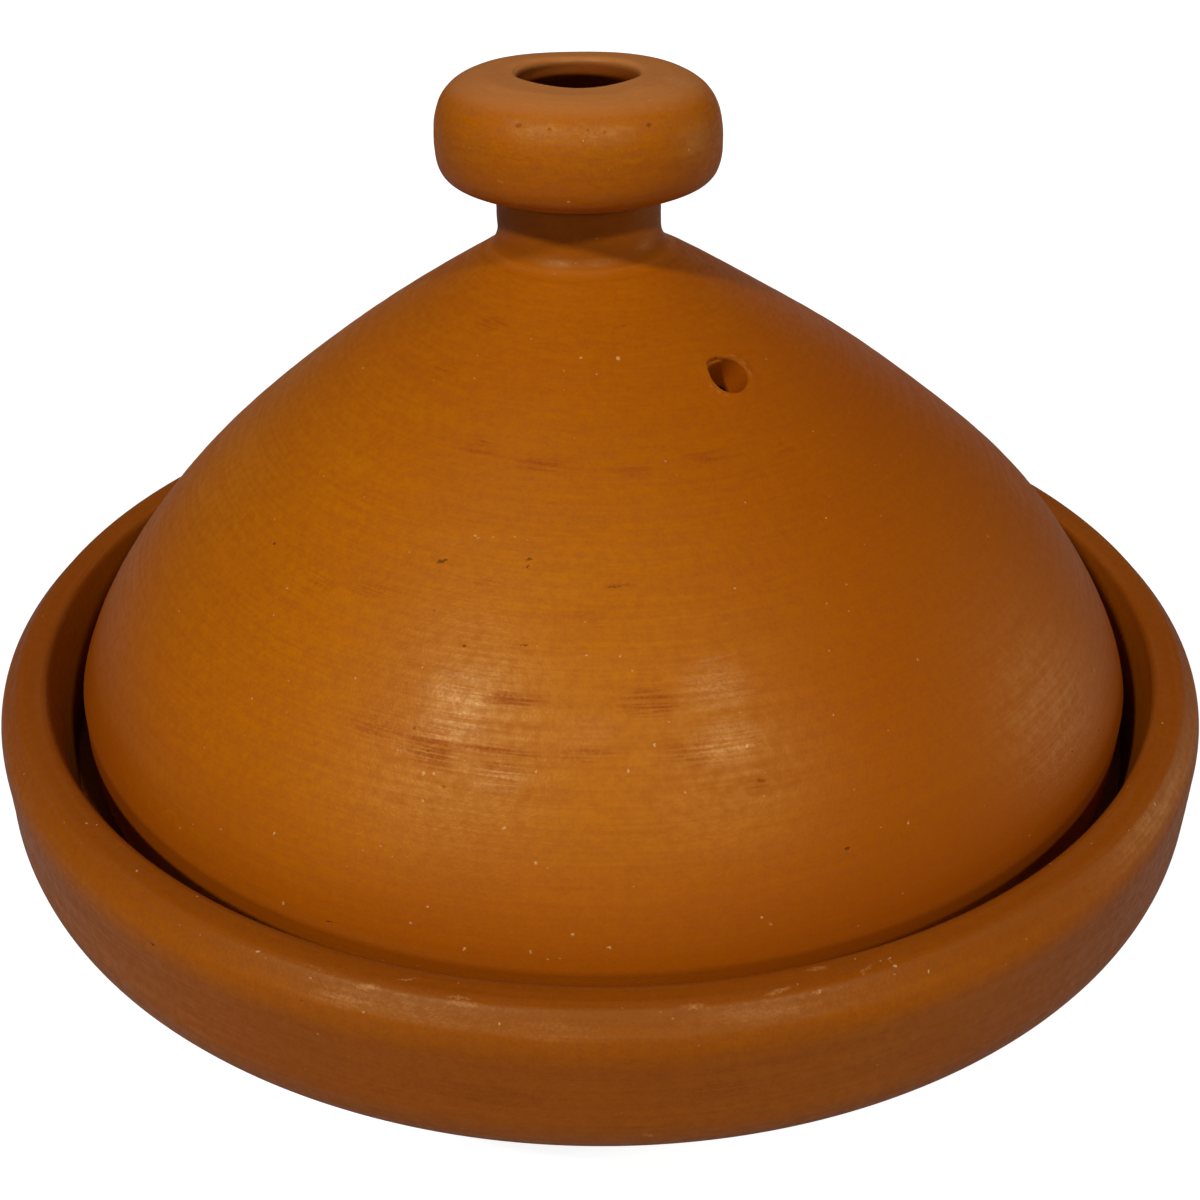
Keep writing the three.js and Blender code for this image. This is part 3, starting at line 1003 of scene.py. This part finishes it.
coneClay = {
    "name": "burnishedLidClay",
    "deep": (0.420, 0.111, 0.0003, 1),
    "pale": (0.476, 0.135, 0.0006, 1),
    "warm": (0.440, 0.102, 0.0003, 1),
    "dark": (0.285, 0.050, 0.0003, 1),
    "shadow": (0.285, 0.050, 0.0003, 1),
    # pale clay of rubbed edges and scratches, also the colour of painted highlight and sheen
    "rubbedAndSheen": (0.550, 0.230, 0.075, 1),
    "dusty": (0.540, 0.190, 0.0010, 1),
    "pit": (0.080, 0.020, 0.004, 1),
    "limeColour": (0.700, 0.420, 0.170, 1),
    "cloudScale": 13.0,
    "bands": 0.35,  # how strongly each kind of mark shows
    "lines": 0.28,
    "mottle": 0.32,
    "grit": 0.15,
    "directedTints": [  # which way, where none, where full, how much, and the tint
        # painted shade on the lid's lower part towards the dish's rim, and a band below the ridge
        ((0, 0, 1), 0.100, 0.066, 0.66, "dark"),
        ((0, 0, 1), 0.0692, 0.0680, 0.25, "dark"),
        # darker towards the crown
        ((0, 0, 1), 0.118, 0.160, 0.36, "dark"),
        # painted shade on the lid's right side and towards its left edge
        ((1, 0, 0), -0.005, 0.065, 0.55, "dark"),
        ((-1, 0, 0), 0.080, 0.125, 0.52, "dark"),
    ],
    "polishAndHighlightShare": 0.46,
    "brush": 0.95,
    "scratchAndGlintShare": 0.42,
    "wear": 0.10,
    # how strong the painted shade in hollows is
    "hollow": 0.70,
    "lime": 0.13,  # how many specks there are
    "dust": 0.10,
    "pits": 0.04,
    "shine": 0.22,
    "shineTint": (1.0, 0.93, 0.42, 1),
    "rough": 0.36,
    "relief": 0.030,
    # painted highlight on the lid's front where the two lamps shine, partly polish
    "polishAndHighlightAt": [
        (405, 690, 530, 690, 7.0, 1.0), (400, 722, 510, 724, 6.0, 0.9),
        (455, 780, 540, 782, 4.0, 0.8), (665, 690, 765, 680, 7.0, 0.8),
        (680, 748, 775, 738, 7.0, 0.8), (540, 735, 640, 735, 6.0, 0.3),
    ],
    "brushedAt": [
        (330, 712, 430, 736, 4.2, 0.9), (390, 730, 470, 768, 5.0, 1.0),
        (440, 745, 560, 758, 2.2, 1.0), (470, 700, 555, 701, 2.6, 1.0),
        (455, 767, 545, 773, 2.6, 0.6), (540, 755, 640, 755, 2.0, 0.8),
        (605, 704, 695, 702, 4.2, 1.0), (640, 757, 730, 753, 3.4, 0.7),
        (735, 785, 780, 783, 3.0, 0.6), (470, 321, 515, 326, 3.0, 0.9),
        (500, 351, 670, 351, 3.0, 0.6), (426, 369, 464, 373, 2.8, 0.6),
        (452, 446, 508, 450, 2.6, 0.8), (505, 464, 580, 467, 2.8, 0.9),
        (600, 470, 660, 470, 2.6, 0.6), (668, 458, 755, 454, 2.4, 0.8),
        (770, 450, 800, 448, 1.8, 0.7), (292, 584, 346, 589, 2.6, 0.55),
        (340, 589, 420, 592, 2.6, 0.5), (468, 582, 512, 583, 1.6, 0.5),
        (600, 588, 640, 585, 1.2, 0.6), (822, 552, 860, 546, 1.4, 0.5),
        (560, 615, 612, 616, 2.4, 0.4),
    ],
    "scratchAndGlintAt": [
        (690, 664, 745, 651, 0.5, 0.6), (440, 742, 505, 758, 0.6, 0.9),
        (385, 745, 425, 757, 0.5, 0.7), (560, 657, 600, 656, 0.4, 0.4),
        # a pale rub and painted highlight at the neck's foot, in the lit gap between the knob's shadows
        (544, 253, 596, 256, 0.60, 0.8), (556, 259, 600, 262, 0.40, 0.5),
        (727, 354, 739, 358, 0.45, 0.9), (739, 358, 747, 366, 0.45, 1.0),
        (747, 366, 752, 378, 0.45, 0.9), (709, 382, 714, 389, 0.40, 0.6),
        (714, 389, 722, 394, 0.40, 0.7), (722, 394, 731, 397, 0.40, 0.6),
    ],
    "pitAt": [
        (434, 564, 450, 558, 0.42, 1.0), (524, 559, 534, 559, 0.42, 1.0),
        (526, 566, 529, 566, 0.34, 0.9), (600, 588, 624, 586, 0.22, 0.6),
        (433, 610, 436, 610, 0.32, 0.7), (462, 646, 467, 646, 0.34, 0.9),
        (518, 645, 530, 645, 0.28, 0.7), (324, 921, 333, 923, 0.30, 0.7),
        (412, 728, 416, 728, 0.34, 0.7), (440, 787, 448, 787, 0.30, 0.5),
        (755, 780, 768, 782, 0.5, 0.5), (614, 327, 637, 323, 0.35, 0.35),
    ],
    "limeAt": [
        (423, 773, 0.62), (434, 774, 0.45), (536, 771, 0.45), (628, 771, 0.55),
        (620, 656, 0.42), (586, 656, 0.35), (355, 678, 0.50), (422, 667, 0.30),
        (655, 745, 0.45), (685, 793, 0.40), (764, 797, 0.42), (747, 746, 0.40),
        (833, 715, 0.40), (854, 790, 0.40), (536, 863, 0.55), (504, 828, 0.60),
        (422, 801, 0.35), (274, 834, 0.50), (283, 903, 0.45), (411, 923, 0.50),
        (464, 948, 0.50), (530, 952, 0.50), (573, 935, 0.40), (609, 948, 0.45),
        (762, 917, 0.50), (770, 924, 0.42), (478, 538, 0.35), (409, 552, 0.35),
        (180, 828, 0.40), (252, 699, 0.35), (745, 502, 0.35), (908, 823, 0.40),
        (918, 660, 0.35), (618, 358, 0.70), (581, 358, 0.40), (475, 536, 0.40),
        (515, 537, 0.28), (988, 536, 0.40), (287, 589, 0.35), (179, 611, 0.35),
    ],
}

knobClay = dict(
    coneClay,
    name="burnishedKnobClay",
    deep=(0.380, 0.096, 0.0004, 1),
    pale=(0.435, 0.118, 0.0008, 1),
    warm=(0.400, 0.095, 0.0004, 1),
    shadow=(0.150, 0.026, 0.0003, 1),
    directedTints=[
        # painted shade under the knob's grip, down to the neck
        ((0, 0, 1), 0.198, 0.186, 0.52, "dark"),
        # paler on the neck below the crease, easing that painted shade
        ((0, 0, 1), 0.1836, 0.1828, 0.30, "pale"),
        # paler top of the knob: partly wear, partly a painted sheen
        ((0, 0, 1), 0.2025, 0.2065, 0.45, "rubbedAndSheen"),
    ],
    # painted sheen on the knob's top and its front highlight
    polishAndHighlightAt=[
        (470, 84, 520, 96, 2.0, 0.5), (600, 97, 680, 88, 2.2, 0.5),
        (655, 74, 694, 92, 4.5, 1.0), (545, 135, 620, 137, 4.0, 0.35),
    ],
    brushedAt=[(480, 155, 560, 165, 2.6, 0.4), (600, 172, 680, 160, 2.4, 0.4)],
    scratchAndGlintAt=[
        (646, 101, 654, 99, 0.35, 1.0), (495, 179, 504, 183, 0.3, 1.0),
        (668, 199, 680, 196, 0.3, 0.8), (500, 93, 562, 97, 0.6, 0.4),
        (560, 97, 622, 93, 0.6, 0.5), (620, 93, 652, 83, 0.6, 0.6),
        (650, 84, 670, 75, 0.6, 0.5),
    ],
    pitAt=[
        (515, 125, 522, 125, 0.45, 0.6), (547, 129, 551, 129, 0.40, 0.4),
        (586, 131, 590, 131, 0.40, 0.35), (602, 132, 606, 132, 0.35, 0.35),
        (646, 126, 653, 123, 0.45, 0.7),
    ],
    limeAt=[(689, 150, 0.32), (583, 141, 0.28), (470, 148, 0.26)],
    bands=0.50,
    lines=0.48,
    scratchAndGlintShare=0.7,
    wear=0.25,
    hollow=0.85,
)

dishClay = dict(
    coneClay,
    name="burnishedDishClay",
    deep=(0.276, 0.060, 0.0004, 1),
    pale=(0.320, 0.075, 0.0008, 1),
    warm=(0.289, 0.059, 0.0004, 1),
    dark=(0.195, 0.034, 0.0003, 1),
    shadow=(0.195, 0.034, 0.0003, 1),
    rubbedAndSheen=(0.440, 0.175, 0.050, 1),
    dusty=(0.400, 0.125, 0.0010, 1),
    # painted shade on the rim's top and on the dish's left side
    directedTints=[((0, 0, 1), 0.069, 0.0735, 0.35, "dark"), ((-1, 0, 0), 0.128, 0.148, 0.30, "dark")],
    # painted sheen along the rim's shoulder
    polishAndHighlightAt=[
        (300, 990, 390, 1008, 2.4, 0.9), (480, 1030, 640, 1036, 2.6, 0.5),
        (700, 1020, 840, 1005, 2.4, 0.4),
    ],
    brushedAt=[(420, 1085, 560, 1100, 4.0, 0.4), (640, 1095, 780, 1080, 4.0, 0.4)],
    scratchAndGlintAt=[
        (352, 984, 386, 989, 0.8, 1.0), (389, 981, 426, 978, 0.4, 1.0),
        (438, 1001, 487, 1006, 0.7, 0.9), (676, 1007, 711, 1005, 0.7, 0.9),
        (759, 997, 797, 986, 0.7, 0.9), (803, 971, 832, 966, 0.8, 0.9),
        (861, 968, 866, 978, 0.5, 0.7), (640, 1134, 656, 1136, 0.7, 1.0),
        (440, 996, 476, 999, 0.45, 0.9), (345, 981, 372, 992, 0.40, 0.7),
        (780, 991, 811, 1000, 0.40, 0.8), (808, 996, 826, 988, 0.40, 0.9),
        (855, 975, 876, 964, 0.40, 0.8), (884, 957, 898, 966, 0.40, 0.8),
        (300, 962, 330, 972, 0.40, 0.5),
    ],
    scratchAndGlintShare=0.75,
    pitAt=[(298, 1000, 305, 1002, 0.35, 0.5)],
    limeAt=[
        (258, 952, 0.50), (855, 959, 0.40), (890, 958, 0.45), (895, 966, 0.45),
        (929, 972, 0.45), (820, 991, 0.40), (87, 823, 0.45), (97, 825, 0.40),
        (136, 871, 0.45), (24, 774, 0.45), (363, 1012, 0.40), (499, 1024, 0.40),
        (1155, 804, 0.40), (1128, 786, 0.40), (1162, 723, 0.40), (1050, 864, 0.40),
    ],
    wear=0.14,
    hollow=0.45,
    lime=0.12,
)

clayFinish(dish, dishClay)
clayFinish(cone, coneClay)
clayFinish(knob, knobClay)
print("clay finishes made")


# studio: two lamps in front, a low warm one at the right, soft fills in front and behind, a pale floor
lampLook = {
    "leftLamp": {"around": -36, "up": 44, "away": 1.5, "size": 0.12, "power": 13.1},
    "rightLamp": {"around": 30, "up": 42, "away": 1.5, "size": 0.12, "power": 7.2},
    "sheenLamp": {"around": 101, "up": 4, "away": 1.5, "size": 0.5, "power": 2.5, "tone": (1.0, 0.84, 0.5)},
    "frontFill": {"around": 0, "up": 12, "away": 1.5, "size": 1.6, "power": 1.8, "glare": False},
    "backLeftFill": {"around": -160, "up": 6, "away": 1.5, "size": 0.5, "power": 3.5, "glare": False},
    "backRightFill": {"around": 160, "up": 6, "away": 1.5, "size": 0.5, "power": 6.0, "glare": False},
}
roomLook = {
    "aim": (0, 0, 0.12),
    "dim": 0.05,
    "floor": 0.35,
    "floorRough": 0.9,
    "floorGlow": 0.9,
    "glowRise": (0.5, 1.6),  # metres out, over which the floor turns as white as the room
    "floorReach": 6.0,
    "floorSides": 64,
    "floorDrop": 0.0002,  # keeps it clear of the foot
}


def setLamp(name, look):
    data = bpy.data.lights.new(name, "AREA")
    data.shape = "DISK"
    data.size = look["size"]
    data.energy = look["power"]
    data.color = look.get("tone", (1, 1, 1))
    around, up = math.radians(look["around"]), math.radians(look["up"])
    way = Vector((math.sin(around) * math.cos(up), -math.cos(around) * math.cos(up), math.sin(up)))
    lamp = addObject(name, data)
    lamp.location = Vector(roomLook["aim"]) + way * look["away"]
    lamp.rotation_euler = way.to_track_quat("Z", "Y").to_euler()
    lamp.visible_glossy = look.get("glare", True)


def setRoom():
    world = bpy.data.worlds.new("paleRoom")
    world.use_nodes = True
    scene.world = world
    tree = world.node_tree
    light = tree.nodes["Background"]
    feed(tree, light.inputs["Color"], (1, 1, 1, 1))
    path = tree.nodes.new("ShaderNodeLightPath")
    shown = calc(tree, "MAXIMUM", path.outputs["Is Camera Ray"], path.outputs["Is Transmission Ray"])
    feed(tree, light.inputs["Strength"], ranged(tree, shown, 0.0, 1.0, roomLook["dim"], 1.0, smooth=False))


def setFloor():
    reach, sides = roomLook["floorReach"], roomLook["floorSides"]
    angles = np.linspace(0, fullTurn, sides, endpoint=False)
    corners = [(reach * math.cos(angle), reach * math.sin(angle), 0) for angle in angles]
    mesh = bpy.data.meshes.new("floor")
    mesh.from_pydata(corners, [], [list(range(len(corners)))])
    floor = addObject("floor", mesh)
    floor.location.z = -roomLook["floorDrop"]
    material, tree, surface = newFinish("paleFloor")
    shade = roomLook["floor"]
    feed(tree, surface["Base Color"], (shade, shade, shade, 1))
    feed(tree, surface["Roughness"], roomLook["floorRough"])
    feed(tree, surface["Specular IOR Level"], 0.0)
    feed(tree, surface["Emission Color"], (1, 1, 1, 1))
    path = tree.nodes.new("ShaderNodeLightPath")
    away = vectorCalc(tree, "LENGTH", objectPlace(tree), out="Value")
    glow = ranged(tree, away, *roomLook["glowRise"], roomLook["floorGlow"], 1.0)
    glow = calc(tree, "MULTIPLY", path.outputs["Is Camera Ray"], glow)
    feed(tree, surface["Emission Strength"], glow)
    mesh.materials.append(material)


for lampName, look in lampLook.items():
    setLamp(lampName, look)
setRoom()
setFloor()
scene.view_settings.view_transform = "Standard"
print("studio lit")
